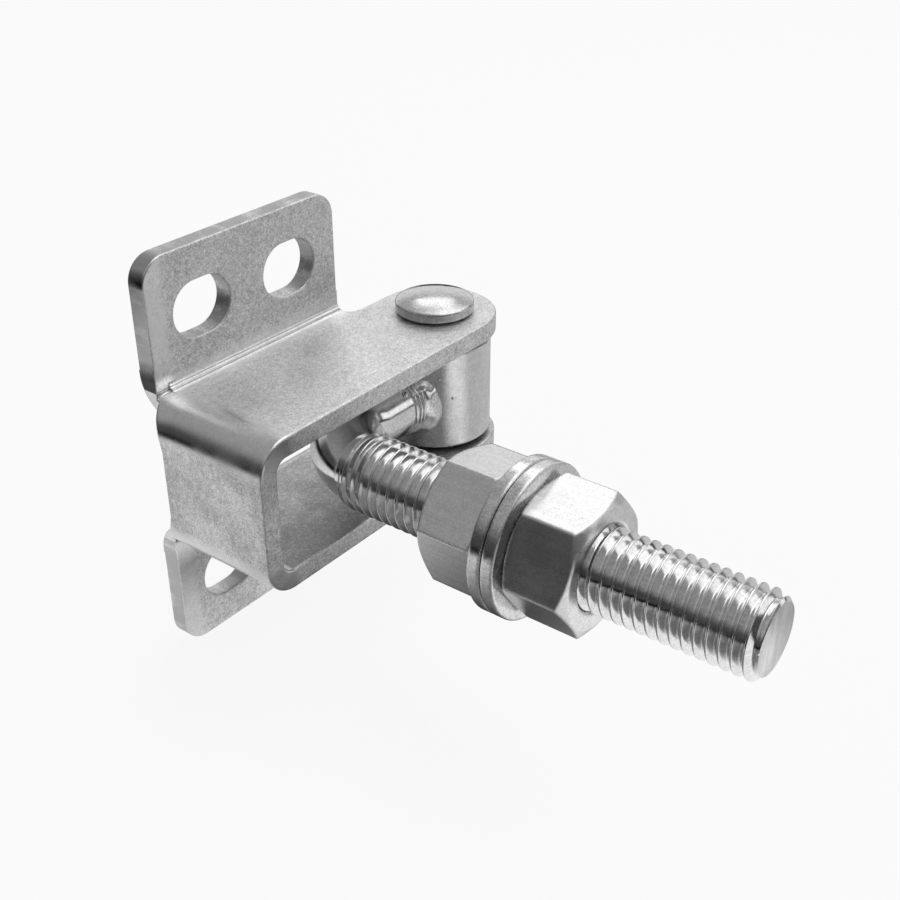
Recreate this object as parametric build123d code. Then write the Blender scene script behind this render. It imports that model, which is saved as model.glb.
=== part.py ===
from build123d import *
import math
import os

# Adjustable gate hinge that opens 180 degrees, for an M18 stud. All sizes are in millimetres.
# Origin: the centre of the four wall slots, on the wall plane.
# +Z runs up along the hinge pin, +X along the wall towards the pin, and -Y out from the wall.

# Bracket: one folded sheet
SHEET_T = 4.7
U_HEIGHT = 37.0
U_DEPTH = 30.0
WEB_X = -33.0
PIN_X = 43.0
WEB_BEND_R = 3.0
FLANGE_BACK_R = 9.0
FLANGE_CREASE_R = 2.0
FLANGE_W = 58.0
FLANGE_RISE = 30.5
FLANGE_CORNER_R = 6.0
RELIEF_R = 3.0
EDGE_BREAK = 0.4
FLANGE_ROOT = 0.8
SHOULDER_R = 20.0

# Wall slots
SLOT_L = 16.5
SLOT_W = 13.0
SLOT_SPACING_X = 27.0
SLOT_SPACING_Z = 68.5

# Hinge pin and its retaining ring
PIN_D = 12.0
PIN_HOLE_CLEARANCE = 0.1
HEAD_D = 19.3
HEAD_RIM = 2.4
HEAD_COLLAR_D = 15.0
HEAD_COLLAR_H = 0.5
HEAD_DOME = 1.6
HEAD_EDGE_R = 0.5
RING_T = 1.0
RING_END_PLAY = 0.15
GROOVE_DEPTH = 0.25
GROOVE_CLEARANCE = 0.05
RING_BAND = 1.9
RING_GAP = 3.4
RING_LUG_R = 1.8
RING_HOLE_D = 1.6
PIN_TAIL = 1.6
PIN_TAIL_CHAMFER = 0.7

# Barrel and its two flanged bushes
BARREL_D = 27.6
BARREL_EDGE_R = 0.6
BUSH_WALL = 2.0
BUSH_FLANGE_T = 1.0
BUSH_FLANGE_D = 24.0
BUSH_LENGTH = 9.0
BUSH_RUNNING_CLEARANCE = 0.05
BUSH_END_PLAY = 0.15

# Bent bolt: a plain leg from the barrel, a right-angle bend and a threaded stud.
# Distances along the stud are taken from the pin axis.
LEG_D = 16.4
BOLT_OFFSET = 45.3
BOLT_BEND_R = 18.4
THREAD_D = 18.0
STUD_START = 14.0
STUD_END = 113.7
TIP_CHAMFER = 1.6
THREAD_RUN_OUT = 2.5
THREAD_PITCH = 2.5
THREAD_ANGLE = 60.0

# Weld bead between leg and barrel, laid in three rings
BEAD_ON_LEG = 4.2
BEAD_RISE = 1.1
BEAD_RINGS = 3
WELD_ROOT_GAP = 0.3
WELD_ROOT_DEPTH = 1.5

# Washers and hexagon nuts on the stud
CLAMP_PLANE = 59.2
CLAMP_GAP = 0.2
WASHER_D = 34.0
WASHER_T = 3.0
WASHER_BORE_CLEARANCE = 0.5
WASHER_EDGE_R = 0.5
NUT_AF = 27.0
NUT_H = 15.0
NUT_FACE_D = 25.8
NUT_CHAMFER_ANGLE = 30.0
NUT_THREAD_CLEARANCE = 0.05
NUT_COUNTERSINK = 0.75
INNER_NUT_PHASE = -11.0
OUTER_NUT_PHASE = 7.0

# Places that follow from the sizes above
STRIP_BACK_Y = -FLANGE_BACK_R
PIN_Y = STRIP_BACK_Y - U_DEPTH / 2
ARM_TOP_Z = U_HEIGHT / 2
ARM_MID_Z = ARM_TOP_Z - SHEET_T / 2
ARM_INNER_Z = ARM_TOP_Z - SHEET_T
FLANGE_TOP_Z = ARM_TOP_Z + FLANGE_RISE
BUSH_D = PIN_D + 2 * (BUSH_RUNNING_CLEARANCE + BUSH_WALL)
BARREL_TOP_Z = ARM_INNER_Z - BUSH_END_PLAY - BUSH_FLANGE_T
RING_TOP_Z = -ARM_TOP_Z - RING_END_PLAY
PIN_TAIL_Z = RING_TOP_Z - RING_T - PIN_TAIL
LEG_END_X = -(BARREL_D / 2 + WELD_ROOT_GAP)
INNER_STACK = CLAMP_PLANE - CLAMP_GAP / 2
OUTER_STACK = CLAMP_PLANE + CLAMP_GAP / 2


def strip_section():
    """Cross-section of the U strip: the web and both arms, of constant thickness."""
    web_mid_x = WEB_X + SHEET_T / 2
    line = FilletPolyline(
        (PIN_X, ARM_MID_Z),
        (web_mid_x, ARM_MID_Z),
        (web_mid_x, -ARM_MID_Z),
        (PIN_X, -ARM_MID_Z),
        radius=WEB_BEND_R + SHEET_T / 2,
    )
    return trace(line, SHEET_T)


def drawn_forward(section, back_y, length):
    """Strip section drawn out from a place near the wall, away from the wall."""
    plane = Plane(origin=(0, back_y, 0), x_dir=(1, 0, 0), z_dir=(0, -1, 0))
    return extrude(plane * section, length)


def make_u_strip():
    """Web and both arms: one strip bent twice, with a round end about the pin on each arm."""
    strip = drawn_forward(strip_section(), STRIP_BACK_Y, U_DEPTH)
    for side in (1, -1):
        strip += Pos(PIN_X, PIN_Y, side * ARM_MID_Z) * Cylinder(U_DEPTH / 2, SHEET_T)

    # The rims run all round the strip; the lines across the sheet and through it are no rims
    lines_along_strip = strip.edges().filter_by(Axis.Y, reverse=True)
    rims = lines_along_strip.filter_by(lambda edge: not math.isclose(edge.length, SHEET_T))
    return fillet(rims, EDGE_BREAK)


def make_shoulder():
    """Back edge of the upper web bend, which sweeps back from the strip to the flange's crease."""
    shoulder = drawn_forward(strip_section(), -SHEET_T, FLANGE_BACK_R - SHEET_T + FLANGE_ROOT)
    centre_y = STRIP_BACK_Y + SHOULDER_R - EDGE_BREAK
    centre_z = ARM_TOP_Z - math.sqrt(SHOULDER_R**2 - (centre_y + SHEET_T) ** 2)
    width = SHEET_T - FLANGE_W / 2 - WEB_X
    at_edge = (Align.MIN, Align.CENTER, Align.MIN)
    corner = Pos(WEB_X, 0, centre_z) * Box(width, U_DEPTH, U_HEIGHT, align=at_edge)
    sweep_back = Pos(WEB_X, centre_y, centre_z) * Rot(0, 90, 0) * Cylinder(SHOULDER_R, U_HEIGHT)
    return (shoulder & corner) - sweep_back


def make_flange():
    """Upper wall flange with its two slots: narrow inner crease, and a wide curve on the wall side."""
    fold_top_z = ARM_INNER_Z + FLANGE_BACK_R + FLANGE_ROOT
    root_y = STRIP_BACK_Y - FLANGE_ROOT
    section = Polygon(
        (root_y, ARM_INNER_Z),
        (0, ARM_INNER_Z),
        (0, fold_top_z),
        (-SHEET_T, fold_top_z),
        (-SHEET_T, ARM_TOP_Z),
        (root_y, ARM_TOP_Z),
        align=None,
    )
    for corner, radius in (((-SHEET_T, ARM_TOP_Z), FLANGE_CREASE_R), ((0, ARM_INNER_Z), FLANGE_BACK_R)):
        section = fillet(section.vertices().sort_by_distance(corner)[0], radius)
    left_plane = Plane(origin=(-FLANGE_W / 2, 0, 0), x_dir=(0, 1, 0), z_dir=(1, 0, 0))
    fold = extrude(left_plane * section, FLANGE_W + RELIEF_R)

    # Left of the arm, the sheet in front of the flange follows the bend of the web
    bend_r = WEB_BEND_R + SHEET_T
    bend = Pos(WEB_X + bend_r, -SHEET_T, ARM_TOP_Z - bend_r)
    front_corner = bend * Box(bend_r, U_DEPTH, U_HEIGHT, align=(Align.MAX, Align.MAX, Align.MIN))
    fold -= front_corner - bend * Rot(90, 0, 0) * Cylinder(bend_r, 2 * U_DEPTH)

    # The sheet is cut back beyond the flange's right edge, down to a round corner at the arm
    round_y = STRIP_BACK_Y + RELIEF_R
    beyond = Pos(FLANGE_W / 2, round_y) * Rectangle(2 * RELIEF_R, -2 * round_y, align=(Align.MIN, Align.MIN))
    relief = Pos(FLANGE_W / 2 + RELIEF_R, round_y) * Circle(RELIEF_R)
    fold -= extrude(beyond + relief, 2 * FLANGE_TOP_Z)

    # The upright plate stands on the fold, and all its other edges are softened
    plate_height = FLANGE_TOP_Z - fold_top_z
    outline = Pos(0, fold_top_z) * Rectangle(FLANGE_W, plate_height, align=(Align.CENTER, Align.MIN))
    outline = fillet(outline.vertices().group_by(Axis.Y)[-1], FLANGE_CORNER_R)
    slot_places = Pos(0, SLOT_SPACING_Z / 2) * GridLocations(SLOT_SPACING_X, 1, 2, 1)
    outline -= slot_places * SlotOverall(SLOT_L, SLOT_W)
    plate = extrude(Plane.XZ * outline, SHEET_T)
    rims = ShapeList()
    for face in plate.faces().filter_by(Axis.Y):
        rims += face.edges().sort_by(Axis.Z)[1:]
    return fold + fillet(rims, EDGE_BREAK)


def make_bracket():
    """Whole bracket: its upper half, with shoulder and flange, the mirror image and the pin holes."""
    upper_half = split(make_u_strip(), Plane.XY, keep=Keep.TOP) + make_shoulder() + make_flange()
    bracket = upper_half + mirror(upper_half, Plane.XY)
    pin_hole_r = PIN_D / 2 + PIN_HOLE_CLEARANCE
    return bracket - Pos(PIN_X, PIN_Y, 0) * Cylinder(pin_hole_r, U_HEIGHT * 2)


def make_hinge_pin():
    """Headed pin with a low domed head, a ring groove and a chamfered tail."""
    shank_r = PIN_D / 2
    head_r = HEAD_D / 2
    groove_r = shank_r - GROOVE_DEPTH
    groove_top = RING_TOP_Z + GROOVE_CLEARANCE
    groove_bottom = RING_TOP_Z - RING_T - GROOVE_CLEARANCE
    head_bottom = ARM_TOP_Z + HEAD_COLLAR_H
    rim_top = head_bottom + HEAD_RIM
    dome_sphere_r = (head_r**2 + HEAD_DOME**2) / (2 * HEAD_DOME)

    side = Polyline(
        (0, rim_top + HEAD_DOME),
        (0, PIN_TAIL_Z),
        (shank_r - PIN_TAIL_CHAMFER, PIN_TAIL_Z),
        (shank_r, PIN_TAIL_Z + PIN_TAIL_CHAMFER),
        (shank_r, groove_bottom),
        (groove_r, groove_bottom),
        (groove_r, groove_top),
        (shank_r, groove_top),
        (shank_r, ARM_TOP_Z),
        (HEAD_COLLAR_D / 2, ARM_TOP_Z),
        (HEAD_COLLAR_D / 2, head_bottom),
        (head_r, head_bottom),
        (head_r, rim_top),
    )
    dome = RadiusArc((head_r, rim_top), (0, rim_top + HEAD_DOME), -dome_sphere_r)
    pin = revolve(Plane.XZ * make_face(side + dome), Axis.Z)
    rim_edges = pin.edges().filter_by(GeomType.CIRCLE).filter_by(lambda edge: edge.radius > head_r - 0.01)
    return Pos(PIN_X, PIN_Y, 0) * fillet(rim_edges, HEAD_EDGE_R)


def make_retaining_ring():
    """Open spring ring with two eyed lugs, sprung into the pin's groove under the lower arm."""
    inner_r = PIN_D / 2 - GROOVE_DEPTH + GROOVE_CLEARANCE
    outer_r = inner_r + RING_BAND
    lug_y = RING_GAP / 2 + RING_LUG_R
    lug_x = outer_r + RING_LUG_R / 3
    lugs = Locations((lug_x, lug_y), (lug_x, -lug_y))
    outline = Circle(outer_r) + lugs * Circle(RING_LUG_R)
    opening = Rectangle(2 * outer_r, RING_GAP, align=(Align.MIN, Align.CENTER))
    face = outline - Circle(inner_r) - opening - lugs * Circle(RING_HOLE_D / 2)
    return Pos(PIN_X, PIN_Y, RING_TOP_Z) * extrude(face, -RING_T)


def make_barrel():
    """Turned tube that swings on the pin."""
    height = 2 * BARREL_TOP_Z
    barrel = Cylinder(BARREL_D / 2, height) - Cylinder(BUSH_D / 2, height)
    outer_edges = barrel.edges().filter_by(GeomType.CIRCLE).group_by(SortBy.RADIUS)[-1]
    return on_leaf(fillet(outer_edges, BARREL_EDGE_R))


def make_bush(side):
    """Flanged bush pressed into one end of the barrel; side is 1 for the top and -1 for the bottom."""
    flange_z = BARREL_TOP_Z + BUSH_FLANGE_T / 2
    sleeve_z = BARREL_TOP_Z - BUSH_LENGTH / 2
    bush = Pos(0, 0, flange_z) * Cylinder(BUSH_FLANGE_D / 2, BUSH_FLANGE_T)
    bush += Pos(0, 0, sleeve_z) * Cylinder(BUSH_D / 2, BUSH_LENGTH)
    bush -= Cylinder(PIN_D / 2 + BUSH_RUNNING_CLEARANCE, U_HEIGHT)
    if side < 0:
        bush = mirror(bush, Plane.XY)
    return on_leaf(bush)


def thread_rings(near, far):
    """Outline of the thread, drawn as rings: (radius, distance) points with flat crests and roots."""
    crest = THREAD_PITCH / 8
    root = THREAD_PITCH / 4
    flank = (THREAD_PITCH - crest - root) / 2
    crest_r = THREAD_D / 2
    root_r = crest_r - flank / math.tan(math.radians(THREAD_ANGLE / 2))
    points = []
    for turn in range(int((far - near - crest) / THREAD_PITCH)):
        start = near + crest + turn * THREAD_PITCH
        points += [
            (crest_r, start),
            (root_r, start + flank),
            (root_r, start + flank + root),
            (crest_r, start + 2 * flank + root),
        ]
    return points


def make_hinge_bolt():
    """Bar bent to a right angle: a leg cut square at the barrel, and a threaded stud."""
    leg = Line((LEG_END_X, 0), (-BOLT_OFFSET + BOLT_BEND_R, 0))
    path = leg + JernArc(start=leg @ 1, tangent=(-1, 0), radius=BOLT_BEND_R, arc_size=90)
    section = Plane(origin=path @ 0, z_dir=path % 0) * Circle(LEG_D / 2)
    bar = sweep(section, path)

    length = STUD_END - STUD_START
    stud_r = THREAD_D / 2
    outline = Polyline(
        (0, 0),
        (LEG_D / 2, 0),
        (stud_r, THREAD_RUN_OUT),
        *thread_rings(THREAD_RUN_OUT, length - TIP_CHAMFER),
        (stud_r, length - TIP_CHAMFER),
        (stud_r - TIP_CHAMFER, length),
        (0, length),
        close=True,
    )
    stud = revolve(Plane.XZ * make_face(outline), Axis.Z)
    return on_leaf(bar + stud_plane(STUD_START) * stud)


def make_weld_bead():
    """Butt weld that fills the groove between the leg's square end and the round barrel, in three rings."""
    leg_r = LEG_D / 2
    start = Vector(LEG_END_X - BEAD_ON_LEG, leg_r)
    crown = Vector(LEG_END_X, leg_r + BEAD_RISE)
    steps = [start + (crown - start) * (ring / BEAD_RINGS) for ring in range(BEAD_RINGS + 1)]
    ripples = [RadiusArc(a, b, (b - a).length) for a, b in zip(steps, steps[1:])]
    root = leg_r - WELD_ROOT_DEPTH
    outline = Polyline(crown, (0, crown.Y), (0, root), (start.X, root), start)
    ring = revolve(make_face(ripples + [outline]), Axis.X)
    from_end = (Align.CENTER, Align.CENTER, Align.MIN)
    leg = Pos(LEG_END_X, 0, 0) * Rot(0, -90, 0) * Cylinder(leg_r, leg_r, align=from_end)
    return on_leaf(ring - leg - Cylinder(BARREL_D / 2, U_HEIGHT))


def make_washer(near):
    """Flat round washer with softened edges; near is its distance along the stud."""
    washer = Cylinder(WASHER_D / 2, WASHER_T, align=(Align.CENTER, Align.CENTER, Align.MIN))
    washer = fillet(washer.edges().filter_by(GeomType.CIRCLE), WASHER_EDGE_R)
    washer -= Cylinder(THREAD_D / 2 + WASHER_BORE_CLEARANCE, 4 * WASHER_T)
    return on_leaf(stud_plane(near) * washer)


def make_nut(near, phase):
    """Hexagon nut, corners chamfered on both faces and bore countersunk; phase turns it on the stud."""
    corner_r = NUT_AF / math.sqrt(3)
    face_r = NUT_FACE_D / 2
    rise = (corner_r - face_r) * math.tan(math.radians(NUT_CHAMFER_ANGLE))
    prism = extrude(RegularPolygon(NUT_AF / 2, 6, major_radius=False, rotation=phase), NUT_H)
    outline = Polyline(
        (0, 0),
        (face_r, 0),
        (corner_r, rise),
        (corner_r, NUT_H - rise),
        (face_r, NUT_H),
        (0, NUT_H),
        close=True,
    )
    nut = prism & revolve(Plane.XZ * make_face(outline), Axis.Z)
    bore_r = THREAD_D / 2 + NUT_THREAD_CLEARANCE
    nut -= Cylinder(bore_r, 4 * NUT_H)
    mouths = nut.edges().filter_by(GeomType.CIRCLE).group_by(SortBy.RADIUS)[0]
    return on_leaf(stud_plane(near) * chamfer(mouths, NUT_COUNTERSINK))


def stud_plane(distance):
    """Plane across the stud, at a distance from the pin axis, with its normal towards the tip."""
    return Plane(origin=(-BOLT_OFFSET, -distance, 0), x_dir=(1, 0, 0), z_dir=(0, -1, 0))


def on_leaf(shape):
    """Place a piece of the swinging leaf, drawn about the pin axis, in the part's frame."""
    return Pos(PIN_X, PIN_Y, 0) * shape


pieces = {
    "bracket": make_bracket(),
    "hinge_pin": make_hinge_pin(),
    "retaining_ring": make_retaining_ring(),
    "barrel": make_barrel(),
    "upper_bush": make_bush(1),
    "lower_bush": make_bush(-1),
    "hinge_bolt": make_hinge_bolt(),
    "weld_bead": make_weld_bead(),
    "inner_nut": make_nut(INNER_STACK - WASHER_T - NUT_H, INNER_NUT_PHASE),
    "inner_washer": make_washer(INNER_STACK - WASHER_T),
    "outer_washer": make_washer(OUTER_STACK),
    "outer_nut": make_nut(OUTER_STACK + WASHER_T, OUTER_NUT_PHASE),
}

os.makedirs("parts", exist_ok=True)
for name, shape in pieces.items():
    export_step(shape, f"parts/{name}.step")
    print(name, round(shape.volume, 1), shape.bounding_box())
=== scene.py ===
"""Looks of an adjustable gate hinge: its finishes, the stud's rolled thread, the weld, and the studio."""

import logging
import math
from dataclasses import dataclass
from enum import Enum
from typing import Sequence

import bmesh
import bpy
from bmesh.types import BMEdge, BMesh, BMVert
from mathutils import Matrix, Vector, noise


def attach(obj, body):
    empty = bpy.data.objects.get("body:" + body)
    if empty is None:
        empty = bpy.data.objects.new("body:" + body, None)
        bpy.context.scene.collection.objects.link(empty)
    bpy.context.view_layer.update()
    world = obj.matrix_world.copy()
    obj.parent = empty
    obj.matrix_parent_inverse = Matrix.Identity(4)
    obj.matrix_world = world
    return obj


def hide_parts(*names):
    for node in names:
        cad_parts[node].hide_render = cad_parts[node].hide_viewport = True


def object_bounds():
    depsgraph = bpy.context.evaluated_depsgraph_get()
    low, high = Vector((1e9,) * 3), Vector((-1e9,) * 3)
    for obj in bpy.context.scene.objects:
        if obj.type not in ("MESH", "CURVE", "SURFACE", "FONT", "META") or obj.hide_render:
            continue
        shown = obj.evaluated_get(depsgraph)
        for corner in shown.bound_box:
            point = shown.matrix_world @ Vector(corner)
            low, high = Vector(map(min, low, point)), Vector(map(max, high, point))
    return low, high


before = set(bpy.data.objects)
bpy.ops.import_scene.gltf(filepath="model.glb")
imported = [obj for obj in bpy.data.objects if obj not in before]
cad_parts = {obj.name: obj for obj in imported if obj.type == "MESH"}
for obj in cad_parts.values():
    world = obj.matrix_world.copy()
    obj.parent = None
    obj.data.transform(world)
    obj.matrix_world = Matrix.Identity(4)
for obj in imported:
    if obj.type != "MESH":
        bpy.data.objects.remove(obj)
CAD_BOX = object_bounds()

LOG = logging.getLogger("gate_hinge")
MM = 0.001
Rgb = tuple[float, float, float]
FLOAT, VECTOR = "NodeSocketFloat", "NodeSocketVector"


def grey(value: float) -> Rgb:
    """Plated grey of a given lightness.

    Args:
        value: Lightness, where 1 is white.

    Returns:
        The colour, with a trace of blue.
    """
    return (value, value, value * 1.005)


def eased(value: float) -> float:
    """Smooth step.

    Args:
        value: Any number.

    Returns:
        The number clamped to 0..1 and eased at both ends.
    """
    t = min(1.0, max(0.0, value))
    return t * t * (3.0 - 2.0 * t)


class Body(Enum):
    """Rigid body of the hinge that new pieces ride on."""

    LEAF = "leaf"


class Ray(Enum):
    """Kinds of ray that the background and the floor tell apart."""

    CAMERA = "Is Camera Ray"
    GLOSSY = "Is Glossy Ray"
    TRANSMISSION = "Is Transmission Ray"


class NodeSketch:
    """Adds nodes to one tree and wires them."""

    def __init__(self, tree: bpy.types.NodeTree) -> None:
        """Keep the tree.

        Args:
            tree: The node tree that grows.
        """
        self.tree = tree

    def add(self, kind: str, **settings: object) -> bpy.types.Node:
        """Add a node.

        Args:
            kind: Node type, such as ShaderNodeMath.
            settings: Attributes to set on the node.

        Returns:
            The new node.
        """
        node = self.tree.nodes.new(kind)
        for key, value in settings.items():
            setattr(node, key, value)
        return node

    def feed(self, socket: bpy.types.NodeSocket, value: object) -> None:
        """Wire an output into a socket, or set the socket's own value.

        Args:
            socket: The input socket.
            value: An output socket, a number or a sequence.
        """
        if isinstance(value, bpy.types.NodeSocket):
            self.tree.links.new(value, socket)
        elif value is not None:
            socket.default_value = value

    def math(self, operation: str, first: object, second: object = None,
             clamp: bool = False) -> bpy.types.NodeSocket:
        """Add a Math node.

        Args:
            operation: Blender's name of the operation.
            first: First value.
            second: Second value, if any.
            clamp: Whether the result stays between 0 and 1.

        Returns:
            The node's output.
        """
        node = self.add("ShaderNodeMath", operation=operation, use_clamp=clamp)
        for socket, value in zip(node.inputs, (first, second)):
            self.feed(socket, value)
        return node.outputs[0]

    def blend(self, share: object, low: object, high: object, colour: bool = False) -> bpy.types.NodeSocket:
        """Mix two values or colours.

        Args:
            share: 0 for low, 1 for high.
            low: First value.
            high: Second value.
            colour: Whether they are colours.

        Returns:
            The mixed value or colour.
        """
        node = self.add("ShaderNodeMix", data_type="RGBA" if colour else "FLOAT")
        first = 6 if colour else 2
        for index, value in ((0, share), (first, low), (first + 1, high)):
            self.feed(node.inputs[index], value)
        return node.outputs[2 if colour else 0]

    def span(self, value: object, low: float, high: float, smooth: bool = True) -> bpy.types.NodeSocket:
        """Map a value from low..high to 0..1, clamped.

        Args:
            value: The value.
            low: Where the result is 0.
            high: Where the result is 1.
            smooth: Whether the ramp eases in and out.

        Returns:
            The mapped value.
        """
        node = self.add("ShaderNodeMapRange", interpolation_type="SMOOTHSTEP" if smooth else "LINEAR")
        self.feed(node.inputs["Value"], value)
        node.inputs["From Min"].default_value = low
        node.inputs["From Max"].default_value = high
        return node.outputs["Result"]

    def past(self, value: object, low: float, high: float) -> bpy.types.NodeSocket:
        """Mask of what lies past a place.

        Args:
            value: Coordinate in metres.
            low: Where the mask is 0, in millimetres.
            high: Where it is 1, in millimetres.

        Returns:
            The mask.
        """
        return self.span(value, low * MM, high * MM)

    def band(self, value: object, centre: float, half: float, soft: float) -> bpy.types.NodeSocket:
        """Mask of a band about a value.

        Args:
            value: The value.
            centre: Middle of the band.
            half: Half of its width.
            soft: Width of its soft edge.

        Returns:
            1 inside the band and 0 outside.
        """
        away = self.math("ABSOLUTE", self.math("SUBTRACT", value, centre))
        return self.math("SUBTRACT", 1.0, self.span(away, half, half + soft))

    def noise(self, place: object, size: object, detail: float = 2.0,
              rough: float = 0.5) -> bpy.types.NodeSocket:
        """Add a Noise node.

        Args:
            place: Coordinates.
            size: Scale of the noise.
            detail: Octaves.
            rough: Weight of the finer octaves.

        Returns:
            The noise value.
        """
        node = self.add("ShaderNodeTexNoise")
        self.feed(node.inputs["Vector"], place)
        self.feed(node.inputs["Scale"], size)
        node.inputs["Detail"].default_value = detail
        node.inputs["Roughness"].default_value = rough
        return node.outputs["Fac"]

    def stretched(self, place: object, scale: Sequence[float]) -> bpy.types.NodeSocket:
        """Scale coordinates along each axis.

        Args:
            place: Coordinates.
            scale: Factor along each axis.

        Returns:
            The mapped coordinates.
        """
        node = self.add("ShaderNodeMapping")
        self.feed(node.inputs["Vector"], place)
        node.inputs["Scale"].default_value = scale
        return node.outputs["Vector"]

    def axes(self, place: object) -> bpy.types.NodeOutputs:
        """Split coordinates.

        Args:
            place: Coordinates.

        Returns:
            The outputs X, Y and Z.
        """
        node = self.add("ShaderNodeSeparateXYZ")
        self.feed(node.inputs[0], place)
        return node.outputs

    def distance(self, place: object, centre: Sequence[float]) -> bpy.types.NodeSocket:
        """Distance from a fixed point.

        Args:
            place: Coordinates.
            centre: The point.

        Returns:
            The distance.
        """
        node = self.add("ShaderNodeVectorMath", operation="DISTANCE")
        self.feed(node.inputs[0], place)
        node.inputs[1].default_value = centre
        return node.outputs["Value"]

    def bare_view(self) -> tuple[bpy.types.NodeSocket, bpy.types.NodeSocket]:
        """Ask which ray arrives.

        Returns:
            1 for a ray of the camera or through glass, and 1 for a reflected ray.
        """
        rays = self.add("ShaderNodeLightPath").outputs
        bare = self.math("MAXIMUM", rays[Ray.CAMERA.value], rays[Ray.TRANSMISSION.value])
        return bare, rays[Ray.GLOSSY.value]


def new_group(name: str, takes: dict[str, str], gives: dict[str, str]) -> tuple[NodeSketch, dict, dict]:
    """Start a shader node group.

    Args:
        name: The group's name.
        takes: Input names and socket types.
        gives: Output names and socket types.

    Returns:
        The sketch of the group, its input sockets and its output sockets by name.
    """
    tree = bpy.data.node_groups.new(name, "ShaderNodeTree")
    for label, kind in takes.items():
        tree.interface.new_socket(label, in_out="INPUT", socket_type=kind)
    for label, kind in gives.items():
        tree.interface.new_socket(label, in_out="OUTPUT", socket_type=kind)
    sketch = NodeSketch(tree)
    start, end = sketch.add("NodeGroupInput"), sketch.add("NodeGroupOutput")
    return sketch, start.outputs, end.inputs


class FinishGroups:
    """Node groups that several finishes share."""

    def __init__(self) -> None:
        """Build each group once."""
        self.grain = self._grain()
        self.edge = self._edge()
        self.lines = self._lines()

    def _grain(self) -> bpy.types.NodeTree:
        """Fine speckle of a zinc-plated surface, with slow mottling.

        Returns:
            The group.
        """
        s, takes, gives = new_group(
            "plated_grain",
            {"Vector": VECTOR, "Grain Scale": FLOAT, "Mottle Scale": FLOAT},
            {"Shade": FLOAT, "Height": FLOAT, "Mottle": FLOAT},
        )
        place = takes["Vector"]
        fine = s.noise(place, takes["Grain Scale"], 3.0, 0.62)
        coarse = s.noise(place, s.math("MULTIPLY", takes["Grain Scale"], 0.28), 2.0, 0.5)
        shade = s.math("ADD", s.math("MULTIPLY", fine, 0.75), s.math("MULTIPLY", coarse, 0.25))
        cells = s.add("ShaderNodeTexVoronoi", feature="F1")
        s.feed(cells.inputs["Vector"], place)
        s.feed(cells.inputs["Scale"], s.math("MULTIPLY", takes["Grain Scale"], 0.8))
        lucky = s.add("ShaderNodeSeparateColor")
        s.feed(lucky.inputs[0], cells.outputs["Color"])
        middle = s.math("SUBTRACT", 1.0, s.span(cells.outputs["Distance"], 0.15, 0.5))
        glint = s.math("MULTIPLY", s.span(lucky.outputs[0], 0.86, 0.98), middle)
        mottle = s.noise(place, takes["Mottle Scale"], 3.0, 0.55)
        s.feed(gives["Shade"], s.span(shade, 0.36, 0.64, smooth=False))
        s.feed(gives["Height"], s.math("ADD", fine, s.math("MULTIPLY", glint, 0.35)))
        s.feed(gives["Mottle"], s.span(mottle, 0.32, 0.68))
        return s.tree

    def _edge(self) -> bpy.types.NodeTree:
        """Rounded look of an edge, and a mask of where it is.

        Returns:
            The group.
        """
        s, takes, gives = new_group(
            "softened_edge", {"Radius": FLOAT}, {"Normal": VECTOR, "Edge": FLOAT}
        )
        bevel = s.add("ShaderNodeBevel", samples=6)
        s.feed(bevel.inputs["Radius"], takes["Radius"])
        shape = s.add("ShaderNodeNewGeometry")
        dot = s.add("ShaderNodeVectorMath", operation="DOT_PRODUCT")
        s.feed(dot.inputs[0], bevel.outputs["Normal"])
        s.feed(dot.inputs[1], shape.outputs["Normal"])
        s.feed(gives["Normal"], bevel.outputs["Normal"])
        s.feed(gives["Edge"], s.span(s.math("SUBTRACT", 1.0, dot.outputs["Value"]), 0.01, 0.22))
        return s.tree

    def _lines(self) -> bpy.types.NodeTree:
        """Fine parallel lines left by drawing, turning or sawing.

        Returns:
            The group.
        """
        s, takes, gives = new_group(
            "drawn_lines", {"Vector": VECTOR, "Scale": FLOAT}, {"Shade": FLOAT, "Height": FLOAT}
        )
        thin = s.noise(takes["Vector"], takes["Scale"], 3.0, 0.7)
        wide = s.noise(takes["Vector"], s.math("MULTIPLY", takes["Scale"], 0.17), 2.0, 0.5)
        both = s.math("ADD", s.math("MULTIPLY", thin, 0.6), s.math("MULTIPLY", wide, 0.4))
        s.feed(gives["Shade"], s.span(both, 0.35, 0.65, smooth=False))
        s.feed(gives["Height"], both)
        return s.tree


class FinishSketch(NodeSketch):
    """A material with its shader, its coordinates and the shared groups.

    Attributes:
        material: The material.
        shader: Its Principled node.
        place: Object coordinates.
        grain: The grain group node.
        edge: The edge group node.
        rough: Roughness that wanders with the mottling.
    """

    def __init__(self, finish: "GrainedFinish", groups: FinishGroups) -> None:
        """Start the material.

        Args:
            finish: The finish.
            groups: The shared groups.
        """
        self.material = bpy.data.materials.new(finish.name)
        self.material.use_nodes = True
        super().__init__(self.material.node_tree)
        self.shader = self.tree.nodes["Principled BSDF"]
        self.shader.inputs["Metallic"].default_value = finish.metallic
        self.place = self.add("ShaderNodeTexCoord").outputs["Object"]
        self.grain = self.add("ShaderNodeGroup", node_tree=groups.grain)
        self.feed(self.grain.inputs["Vector"], self.place)
        self.grain.inputs["Grain Scale"].default_value = 1.0 / (finish.grain * MM)
        self.grain.inputs["Mottle Scale"].default_value = 1.0 / (finish.mottle * MM)
        self.edge = self.add("ShaderNodeGroup", node_tree=groups.edge)
        self.edge.inputs["Radius"].default_value = finish.edge_radius * MM
        wander = self.math("MULTIPLY", self.grain.outputs["Mottle"], 2 * finish.spread)
        self.rough = self.math("ADD", finish.roughness - finish.spread, wander)


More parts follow.
